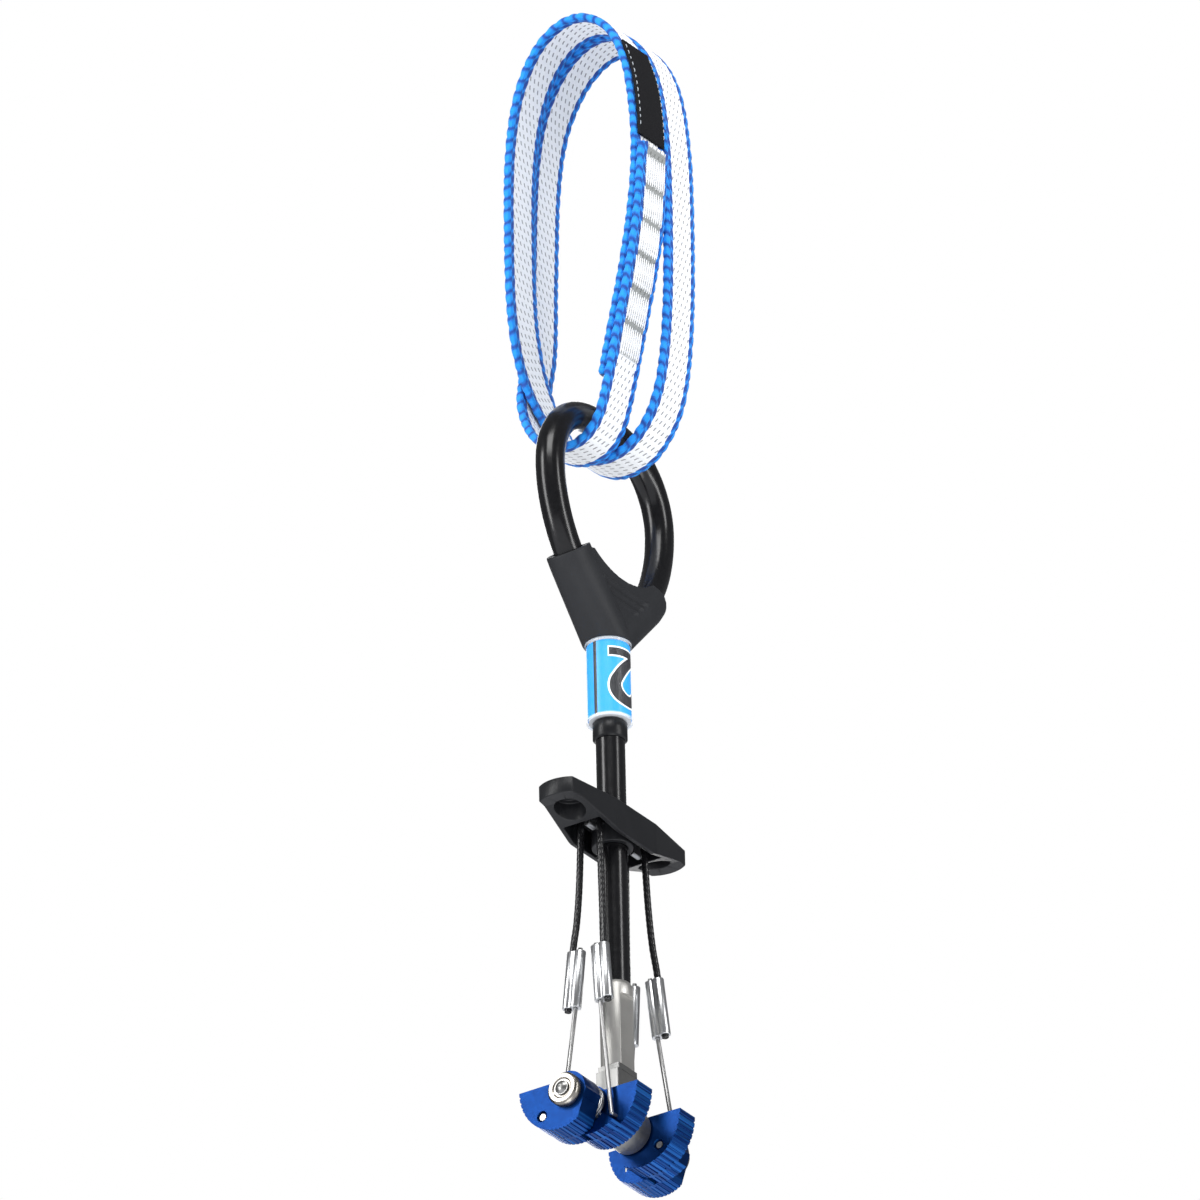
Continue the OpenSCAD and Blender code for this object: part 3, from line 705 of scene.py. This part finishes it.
def bead_height(u, s):
    """Beads of the blue edges, 0 to 1: the inner row sits half a bead further along."""
    shift = np.where(np.abs(u) > WEB_WIDTH / 2 - 0.85, 0.0, 0.5) + BEAD_LEAN * np.abs(u)
    wander = 0.13 * np.sin(0.41 * s) + 0.09 * np.sin(1.13 * s + 0.7)
    return np.abs(np.sin(np.pi * (s / BEAD + shift + wander))) ** 0.8


def weave(u, s):
    """Relief of the tape: short gaps between the white yarns, and beads along the blue edges."""
    row = np.cos(2 * np.pi * s / GAP_ALONG)
    column = np.abs(np.cos(np.pi * (u / GAP_ACROSS + s / (2 * GAP_ALONG))))
    middle = -0.09 * np.clip(row + 0.3, 0, 1) * np.clip((column - 0.7) / 0.3, 0, 1)
    at_edge = np.clip((np.abs(u) - (WEB_WIDTH / 2 - BLUE_EDGE)) / 0.25, 0, 1)
    return middle * (1 - at_edge) + 0.16 * (bead_height(u, s) - 0.5) * at_edge


def patch_weave(u, s, _):
    """Relief of the label patch, the same on both faces."""
    return 0.02 * np.sin(2 * np.pi * s / 0.8) * np.cos(2 * np.pi * u / 0.8)


def patch_seam(line):
    """Lines of the short stitches along both edges of the label patch."""
    side, up = strap_frames(line)
    along = np.array([0, 0.25, 0.5, 0.75, 1.0])
    lift = np.array([0.16, 0.40, 0.44, 0.40, 0.16])[:, None] * OUTWARD
    seam = []
    for edge in (-SEAM_EDGE, SEAM_EDGE):
        for start in np.arange(1.5, len(line) * PATCH_PITCH - 2, STITCH_PITCH):
            ids = ((start + along) / PATCH_PITCH).astype(int)
            ids = np.minimum(ids, len(line) - 1)
            seam.append(line[ids] + side[ids] * edge + up[ids] * lift)
    return seam


def make_sling():
    """The webbing with its bar tacks and its label patch."""
    line, run = evenly(spline(SLING_ROUTE, LINE_STEPS), LINE_PITCH)

    def surface(u, s, face):
        height = np.interp(s, run, line[:, 2])
        pinched = sum(np.exp(-((height - z) / 2.6) ** 2) for z in TACK_Z)
        across = np.clip(1 - (np.abs(u) / 5.0) ** 4, 0, 1)
        outer = (face * OUTWARD > 0) & (s < SEWN)
        return weave(u, s) + np.where(outer, (0.3 * (1 - pinched) - 0.12 * pinched) * across, 0)

    web = new_piece(
        "sling_tape",
        strap_mesh("sling_tape", line, WEB_WIDTH, WEB_THICK, SURFACE_PITCH, surface,
                   beads=EDGE_SCALLOP, ragged=FRAY),
        "sling", ["sling_webbing"],
    )
    web.data.materials.append(webbing_paint())

    threads = [tack_line(line, run, z, layer) for z in TACK_Z for layer in (0, 1)]
    tack = new_piece("sling_bar_tacks", joined_tubes("sling_bar_tacks", threads, TACK_THREAD_R, 8),
                     "sling", ["sling_stitching"])
    tack.data.materials.append(thread_paint("tack_thread", (0.97, 0.97, 0.97), (0.72, 0.74, 0.76)))

    patch_line, _ = evenly(spline(PATCH_ROUTE, LINE_STEPS), PATCH_PITCH)
    patch = new_piece(
        "sling_patch",
        strap_mesh("sling_patch", patch_line, PATCH_WIDTH, PATCH_THICK, PATCH_PITCH, patch_weave),
        "sling", ["sling_label_patch"],
    )
    patch.data.materials.append(patch_paint())
    seam = patch_seam(patch_line)
    stitches = new_piece("patch_stitches", joined_tubes("patch_stitches", seam, STITCH_THREAD_R, 6),
                         "sling", [])
    stitches.data.materials.append(thread_paint("patch_thread", (0.62, 0.66, 0.7), (0.3, 0.33, 0.36)))

    path, _ = evenly(spline(SLING_ROUTE, LINE_STEPS), 2.0)
    path = [tuple(p) for p in placed(path[::-1])]


def tack_line(line, run, z, layer):
    """Zigzag thread of one bar tack: layer 0 lies on the outer face, layer 1 on the inner one."""
    sewn = run < SEWN if layer == 0 else run > run[-1] - SEWN
    ids = np.nonzero(sewn)[0]
    middle = run[ids[np.argmin(np.abs(line[ids, 2] - z))]]
    side, up = strap_frames(line)
    out = OUTWARD if layer == 0 else -OUTWARD
    rise = np.array([0.0, 0.75, 1.0, 1.0, 0.75, 0.0])
    share = np.array([-1.0, -0.85, -0.4, 0.4, 0.85, 1.0])
    points = []
    for i in range(TACK_PASSES):
        u = TACK_HALF_W * (2 * i / (TACK_PASSES - 1) - 1)
        turn = 1 if i % 2 == 0 else -1
        half = TACK_HALF_H + 0.4 * math.sin(2.4 * i + z)
        for f, r in zip(share, rise):
            at_run = middle + turn * f * half
            p = np.array([np.interp(at_run, run, line[:, c]) for c in range(3)])
            k = min(np.searchsorted(run, at_run), len(run) - 1)
            lift = WEB_THICK / 2 - 0.12 + 0.34 * r
            points.append(p + side[k] * (u + 0.2 * f) + up[k] * lift * out)
    return np.array(points)


def joined_tubes(name, lines, radius, sides):
    """One mesh of several thin tubes; every tube keeps its own "run" attribute."""
    parts = [tube_mesh(name, line, radius, sides) for line in lines]
    made = bmesh.new()
    for part in parts:
        made.from_mesh(part)
        bpy.data.meshes.remove(part)
    mesh = bpy.data.meshes.new(name)
    made.to_mesh(mesh)
    made.free()
    return mesh


# +1 if the frames' up vector points out of the sling's loop at its outer cut end
OUTWARD = 1.0 if strap_frames(spline(SLING_ROUTE, 4))[1][8, 1] < 0 else -1.0
make_sling()


# ---------------------------------------------------------------- thumb loop and boot

TUBE_R = 3.3
LOOP_HALF_W = 22.0
LOOP_MID_Z = 155.5
LOOP_CORNER_R = 17.5
LOOP_SIDE_R = 31.6
LOOP_SIDE_A = 37.4

# Grip ridges on the boot: height of the middle one, pitch, radius, half lengths by row
RIDGE_Z = 129.4
RIDGE_PITCH = 1.9
RIDGE_R = 0.45
RIDGES = ((1, 9.0), (0, 7.0), (-1, 5.0))
BOOT_FRONT_Y = 4.7
BOOT_VOXEL = 0.00027


def arc_xz(centre_x, centre_z, radius, start, end, count):
    """Points of an arc in the XZ plane, between two angles in degrees."""
    turn = np.radians(np.linspace(start, end, count))
    return np.stack([centre_x + radius * np.cos(turn), np.zeros(count),
                     centre_z + radius * np.sin(turn)], 1)


def loop_half():
    """Right half of the thumb loop's middle line, from the flat top into the boot."""
    corner = arc_xz(LOOP_HALF_W - LOOP_CORNER_R, LOOP_MID_Z, LOOP_CORNER_R, 90, 0, 60)
    side = arc_xz(LOOP_HALF_W - LOOP_SIDE_R, LOOP_MID_Z, LOOP_SIDE_R, 0, -LOOP_SIDE_A, 50)
    lean = math.radians(LOOP_SIDE_A)
    inward = np.array([-math.sin(lean), 0, -math.cos(lean)])
    tail = side[-1] + inward * np.linspace(0.5, 5, 8)[:, None]
    return np.vstack([corner, side[1:], tail])


def make_thumb_loop():
    """The black hose of the thumb loop, both halves in one line."""
    right = loop_half()
    left = right[::-1] * np.array([-1, 1, 1])
    line, _ = evenly(np.vstack([left, right]), 0.7)
    mesh = tube_mesh("thumb_loop_hose", line, TUBE_R, 56)
    new_piece("thumb_loop_hose", mesh, "stem", ["thumb_loop_cover"])
    mesh.materials.append(hose_paint())


def add_tube(made, line, radius):
    """Adds a round tube along a line to a bmesh."""
    part = tube_mesh("part", line, radius, 10)
    made.from_mesh(part)
    bpy.data.meshes.remove(part)


def on_skin(skin, x, z, face):
    """The points of a surface that lie straight in front of (x, z), seen from the face's side."""
    line = []
    for a, b in zip(x, z):
        hit = skin.ray_cast(at(a, 20 * face, b), Vector((0, -face, 0)))[0]
        line.append([a, (hit.y - AXLE.y) / MM if hit else BOOT_FRONT_Y * face, b])
    return np.array(line)


def make_boot():
    """The moulded Y piece: the CAD form with softened edges, and three plain grip ridges."""
    made = bmesh.new()
    made.from_mesh(nodes["loop_boot"].data)
    skin = BVHTree.FromBMesh(made)
    mesh = bpy.data.meshes.new("boot_skin")
    for row, half_l in RIDGES:
        x = np.linspace(-half_l, half_l, 41)
        z = np.full_like(x, RIDGE_Z + row * RIDGE_PITCH)
        for face in (-1, 1):
            add_tube(made, on_skin(skin, x, z, face), RIDGE_R)
    made.to_mesh(mesh)
    made.free()
    boot = bpy.data.objects.new("boot_skin", mesh)
    bpy.context.scene.collection.objects.link(boot)
    remesh = boot.modifiers.new("remesh", "REMESH")
    remesh.mode = "VOXEL"
    remesh.voxel_size = BOOT_VOXEL
    relax = boot.modifiers.new("relax", "SMOOTH")
    relax.factor = 0.6
    relax.iterations = 3
    applied(boot)
    boot.data.shade_smooth()
    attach(boot, "stem")
    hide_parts("loop_boot")
    boot.data.materials.append(moulded_paint(
        "boot_rubber", (0.012, 0.013, 0.015), (0.02, 0.021, 0.024), 0.46, 0.62))


def applied(obj):
    """Replaces an object's mesh by what its modifiers make of it."""
    graph = bpy.context.evaluated_depsgraph_get()
    graph.update()
    mesh = bpy.data.meshes.new_from_object(obj.evaluated_get(graph), depsgraph=graph)
    old = obj.data
    obj.modifiers.clear()
    obj.data = mesh
    bpy.data.meshes.remove(old)
    mesh.name = obj.name
    mesh.materials.clear()


make_thumb_loop()
make_boot()


# ---------------------------------------------------------------- trigger cables and springs

# Right cable of the +Y face, in millimetres from the axle's middle; the others mirror it
COAT_R = 0.78
SLEEVE_BOTTOM = np.array([11.5, 4.3, 25.2])
SLEEVE_TOP = np.array([10.9, 3.1, 39.2])
CABLE_BOW = np.array([9.4, 2.9, 57.0])
CABLE_TOP = np.array([9.0, 2.4, 72.3])
BARREL_DY = np.array([0, 0.98, 0])
LOBE_PLACES = (("outer_left", -1, 1), ("inner_left", -1, -1),
               ("inner_right", 1, -1), ("outer_right", 1, 1))


def twist(angle, s):
    """Relief of the cable's strands, seen faintly through its coating."""
    return 0.055 * np.abs(np.cos(2.5 * (angle + 2 * np.pi * s / 7.5))) - 0.05


def make_trigger_cables():
    """One coated cable for each lobe, from its crimp sleeve up into the trigger."""
    paint = strand_paint("coated_cable", (0.003, 0.003, 0.0035), (0.01, 0.01, 0.011), 0.24, coat=0.15)
    down = (SLEEVE_BOTTOM - SLEEVE_TOP) / np.linalg.norm(SLEEVE_BOTTOM - SLEEVE_TOP)
    for lobe, side, face in LOBE_PLACES:
        flip = np.array([side, face, 1])
        route = [SLEEVE_BOTTOM + BARREL_DY + 0.5 * down, SLEEVE_TOP + BARREL_DY - 0.5 * down,
                 (SLEEVE_TOP + BARREL_DY - 6 * down) * 0.5 + CABLE_BOW * 0.5 + (0, 0.18, -4.0),
                 CABLE_BOW, CABLE_TOP]
        line, _ = evenly(spline(np.array(route) * flip, LINE_STEPS), 0.14)
        mesh = tube_mesh("cable_" + lobe, line, COAT_R, 30, twist)
        cable = new_piece("coated_cable_" + lobe, mesh, "linkage_" + lobe,
                          ["trigger_cable_" + lobe])
        mesh.materials.append(paint)


COIL_R = 4.1
COIL_WIRE_R = 0.42
LOBE_IN_X, LOBE_T, LOBE_GAP = 5.6, 6.0, 3.3
GAP_X = LOBE_IN_X + LOBE_T + LOBE_GAP / 2
LEG_R, LEG_A = 5.8, -47
HALF_COIL_TURNS = 1.75


def make_springs():
    """Each torsion spring is two half coils, one for each lobe beside it."""
    paint = strand_paint("spring_wire", (0.5, 0.5, 0.5), (0.72, 0.72, 0.71), 0.28, metal=1.0)
    half_coil = LOBE_GAP / 2 - COIL_WIRE_R - 0.12
    for lobe, side, face in LOBE_PLACES:
        outward = side if lobe.startswith("outer") else -side
        start = math.radians(LEG_A)
        t = np.linspace(0, 1, 120)
        angle = start - 2 * math.pi * HALF_COIL_TURNS * t
        x = side * GAP_X + outward * half_coil * (1 - t)
        coil = np.stack([x, COIL_R * np.cos(angle) * face, COIL_R * np.sin(angle)], 1)
        leg = np.array([math.cos(start) * face, math.sin(start)])
        x_leg = side * GAP_X + outward * half_coil
        out = [(x_leg + outward * 2.1, LEG_R * leg[0], LEG_R * leg[1]),
               (x_leg + outward * 0.45, LEG_R * leg[0], LEG_R * leg[1]),
               (x_leg, (LEG_R - 0.5) * leg[0], (LEG_R - 0.5) * leg[1]),
               (x_leg, (COIL_R + 0.5) * leg[0], (COIL_R + 0.5) * leg[1])]
        line, _ = evenly(spline(np.vstack([out, coil]), 4), 0.16)
        mesh = tube_mesh("spring_" + lobe, line, COIL_WIRE_R, 16)
        spring = new_piece("spring_coil_" + lobe, mesh, None, [])
        mesh.materials.append(paint)
        if lobe.startswith("outer"):
            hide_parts("torsion_spring_left" if side < 0 else "torsion_spring_right")
        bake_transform(spring)


make_trigger_cables()
make_springs()


# ---------------------------------------------------------------- printed digit

DIGIT_Z = 109.2
DIGIT_H = 13.9
DIGIT_W = 9.5
INK_THICK = 0.02
OUTLINE_GROW = 0.42
OUTLINE_R = 4.895
FILL_R = 4.93


def ribbon(points, half):
    """Outline quads of a stroke along 2-D points, half wide to each side."""
    points = np.asarray(points, float)
    along = unit(np.gradient(points, axis=0))
    out = np.stack([-along[:, 1], along[:, 0]], 1)
    half = np.broadcast_to(np.asarray(half, float), len(points))[:, None]
    return points + out * half, points - out * half


def digit_strokes(grow):
    """The strokes of a 2, upright, centred; grow widens every stroke."""
    top = DIGIT_H / 2
    wide = DIGIT_W / 2
    turn = np.radians(np.linspace(160, -38, 40))
    bowl_r = wide - 1.35
    bowl = np.stack([bowl_r * np.cos(turn), top - wide + bowl_r * np.sin(turn) + 0.02], 1)
    foot = np.array([-wide + 1.6, -top + 1.35])
    t = np.linspace(0, 1, 16)[1:, None]
    slope = bowl[-1] * (1 - t) + foot * t + np.array([0.5, -0.35]) * (4 * t * (1 - t))
    curve = np.vstack([bowl, slope])
    width = np.interp(np.arange(len(curve)), [0, 22, len(curve) - 1], [1.15, 1.5, 1.05]) + grow
    base_x = np.linspace(-wide - grow * 0.6, wide + grow * 0.6, 12)
    base = np.stack([base_x, np.full(12, -top + 0.9)], 1)
    return [ribbon(curve, width), ribbon(base, 0.9 + grow)]


def wrapped_print(name, grow, radius, paint):
    """The digit wrapped round the label, upside down, on the side that faces -Y."""
    made = bmesh.new()
    for index, (left, right) in enumerate(digit_strokes(grow)):
        grid = np.stack([left * (1 - f) + right * f for f in np.linspace(0, 1, 7)], 1)
        shells = []
        for lift in (0.0, INK_THICK):
            r = radius + index * 0.006 + lift
            turn = math.radians(270) - grid[..., 0] / radius
            place = np.stack([r * np.cos(turn), r * np.sin(turn), DIGIT_Z - grid[..., 1]], -1)
            flat = placed(place).reshape(-1, 3)
            shells.append([made.verts.new(p) for p in flat])
        n, m = grid.shape[:2]
        low, high = shells
        for i in range(n - 1):
            for j in range(m - 1):
                a, b, c, d = i * m + j, i * m + j + 1, (i + 1) * m + j + 1, (i + 1) * m + j
                made.faces.new([high[a], high[b], high[c], high[d]])
                made.faces.new([low[d], low[c], low[b], low[a]])
        border = list(range(m)) + [i * m + m - 1 for i in range(1, n)]
        border += [(n - 1) * m + j for j in range(m - 2, -1, -1)]
        border += [i * m for i in range(n - 2, 0, -1)]
        for a, b in zip(border, border[1:] + border[:1]):
            made.faces.new([low[a], low[b], high[b], high[a]])
    bmesh.ops.recalc_face_normals(made, faces=made.faces)
    mesh = bpy.data.meshes.new(name)
    made.to_mesh(mesh)
    made.free()
    new_piece(name, mesh, "stem", [], smooth=False)
    mesh.materials.append(paint)


wrapped_print("digit_outline", OUTLINE_GROW, OUTLINE_R,
              print_paint("outline_ink", (0.8, 0.84, 0.88), (0.95, 0.96, 0.97)))
wrapped_print("digit_fill", 0.0, FILL_R,
              print_paint("black_ink", (0.006, 0.006, 0.008), (0.016, 0.016, 0.02)))


# ---------------------------------------------------------------- finish of the CAD pieces

WELD_DISTANCE = 0.000002
BEVEL_SEGMENTS = 2


def dress(name, paint, bevel=0.0, angle=35):
    """Gives a CAD node its material and, if asked, small rounded edges."""
    obj = nodes[name]
    obj.data.materials.clear()
    obj.data.materials.append(paint)
    weld = obj.modifiers.new("weld", "WELD")
    weld.merge_threshold = WELD_DISTANCE
    if bevel:
        edge = obj.modifiers.new("edge", "BEVEL")
        edge.width = bevel * MM
        edge.segments = BEVEL_SEGMENTS
        edge.limit_method = "ANGLE"
        edge.angle_limit = math.radians(angle)
        edge.use_clamp_overlap = True
        edge.harden_normals = True


def dress_all():
    """Materials and edges of every CAD node that stays in view."""
    steel = steel_paint("swage", (0.56, 0.55, 0.52), (0.7, 0.69, 0.66), 0.38, 0.55, scale=1800)
    bright = steel_paint("termination", (0.26, 0.26, 0.255), (0.36, 0.36, 0.35), 0.34, 0.52,
                         stretch=(1, 1, 0.15), scale=1400)
    nickel = steel_paint("washer", (0.24, 0.225, 0.2), (0.36, 0.34, 0.31), 0.2, 0.34)
    pin = steel_paint("axle_end", (0.3, 0.3, 0.29), (0.42, 0.42, 0.41), 0.25, 0.45)
    sleeve = steel_paint("sleeve", (0.66, 0.67, 0.68), (0.82, 0.83, 0.84), 0.2, 0.42,
                         stretch=(1, 1, 0.12), scale=2600, depth=0.00002)
    wire = steel_paint("wire", (0.4, 0.4, 0.4), (0.55, 0.55, 0.54), 0.3, 0.42,
                       stretch=(1, 1, 0.2), scale=1200, depth=0.000002)
    saddle = steel_paint("saddle", (0.36, 0.37, 0.38), (0.5, 0.51, 0.52), 0.3, 0.5)
    plastic = moulded_paint("trigger_plastic", (0.006, 0.0065, 0.008), (0.012, 0.0125, 0.014), 0.3, 0.48)
    collar = moulded_paint("collar_plastic", (0.005, 0.0055, 0.006), (0.01, 0.0105, 0.012), 0.24, 0.4)
    core = moulded_paint("core_white", (0.62, 0.65, 0.68), (0.8, 0.82, 0.84), 0.35, 0.55)
    cam = cam_paint()
    dress("stem_swage", steel, 0.25)
    dress("stem_termination", bright, 0.2)
    dress("stem_cable", wire)
    dress("axle", pin)
    dress("stem_tube", hose_paint())
    dress("stem_collar", collar)
    dress("label_core", core)
    dress("size_label", label_paint())
    dress("label_shrink", shrink_paint())
    dress("trigger_bar", plastic, 0.35)
    for side in ("left", "right"):
        dress("axle_washer_" + side, nickel)
        dress("cable_saddle_" + side, saddle, 0.1)
    for lobe in LOBES:
        dress("cam_lobe_" + lobe, cam, 0.1, angle=28)
        dress("crimp_sleeve_" + lobe, sleeve, 0.15)
        dress("trigger_wire_" + lobe, wire)


dress_all()
